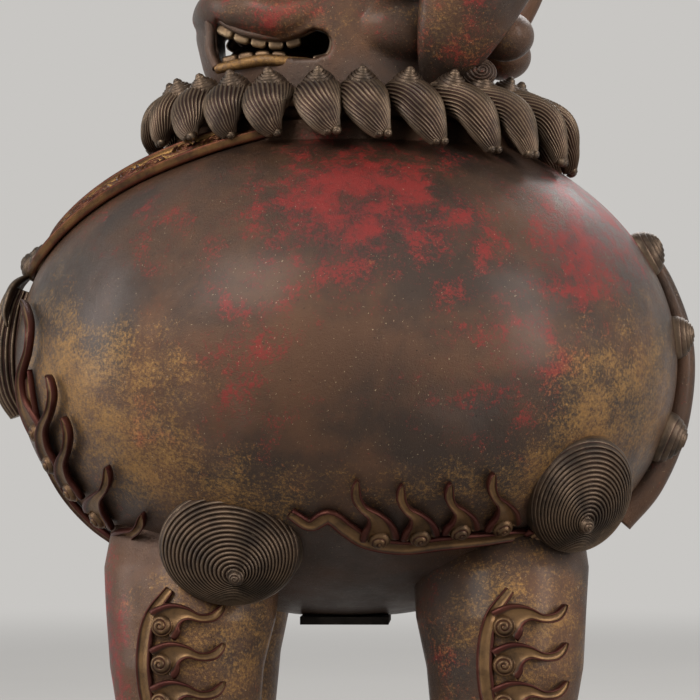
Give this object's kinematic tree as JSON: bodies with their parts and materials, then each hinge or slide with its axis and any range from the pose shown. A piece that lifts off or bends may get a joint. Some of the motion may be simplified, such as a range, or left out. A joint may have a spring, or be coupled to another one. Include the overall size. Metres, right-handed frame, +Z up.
{
  "type": "incense burner",
  "caption": "Cast bronze incense burner shaped as a standing mythical lion: ball-shaped belly on clawed legs, head with a ring of mane curls as lift-off lid.",
  "frame": {"origin": "on the floor, under the middle of the outline's bounding box", "axes": "+Z up, -X the way the beast faces, +Y its right flank"},
  "size_m": [0.3748, 0.318, 0.6163],
  "materials": {
    "lacquer": "worn red-brown lacquer",
    "gilt": "grainy gilding",
    "dark_bronze": "dark patina",
    "ivory_gilt": "worn gilding",
    "soot_iron": "sooty"
  },
  "bodies": {
    "base": {"belly_shell": "lacquer", "chest_strap": "gilt", "chest_tassel": "gilt", "tail_stem": "gilt", "front_leg_left": "gilt", "front_leg_right": "gilt", "hind_leg_left": "gilt", "hind_leg_right": "gilt", "core_plate": "dark_bronze", "tail_curl_1_left": "dark_bronze", "tail_curl_2_left": "dark_bronze", "tail_curl_3_left": "dark_bronze", "front_whorl_left": "dark_bronze", "front_leg_flames_left": "dark_bronze", "hind_whorl_left": "dark_bronze", "hind_leg_flames_left": "dark_bronze", "belly_flames_left": "dark_bronze", "shoulder_flames_left": "dark_bronze", "tail_curl_1_right": "dark_bronze", "tail_curl_2_right": "dark_bronze", "tail_curl_3_right": "dark_bronze", "front_whorl_right": "dark_bronze", "front_leg_flames_right": "dark_bronze", "hind_whorl_right": "dark_bronze", "hind_leg_flames_right": "dark_bronze", "belly_flames_right": "dark_bronze", "shoulder_flames_right": "dark_bronze", "ash_tray": "soot_iron"},
    "head_lid": {"mane_collar": "dark_bronze", "lower_jaw": "gilt", "head_shell": "lacquer", "upper_teeth_left": "ivory_gilt", "upper_teeth_right": "ivory_gilt", "lower_teeth_left": "ivory_gilt", "lower_teeth_right": "ivory_gilt", "tongue": "lacquer", "horn": "gilt", "nose": "gilt", "ear_left": "gilt", "ear_right": "gilt", "hair_lock_left": "dark_bronze", "hair_lock_right": "dark_bronze", "brow_left": "gilt", "brow_right": "gilt", "eye_left": "ivory_gilt", "eye_right": "ivory_gilt"}
  },
  "joints": [
    {"name": "head_lift", "type": "slide", "parent": "base", "child": "head_lid", "axis": [0, 0, 1], "range_m": [0, 0.12]}
  ]
}
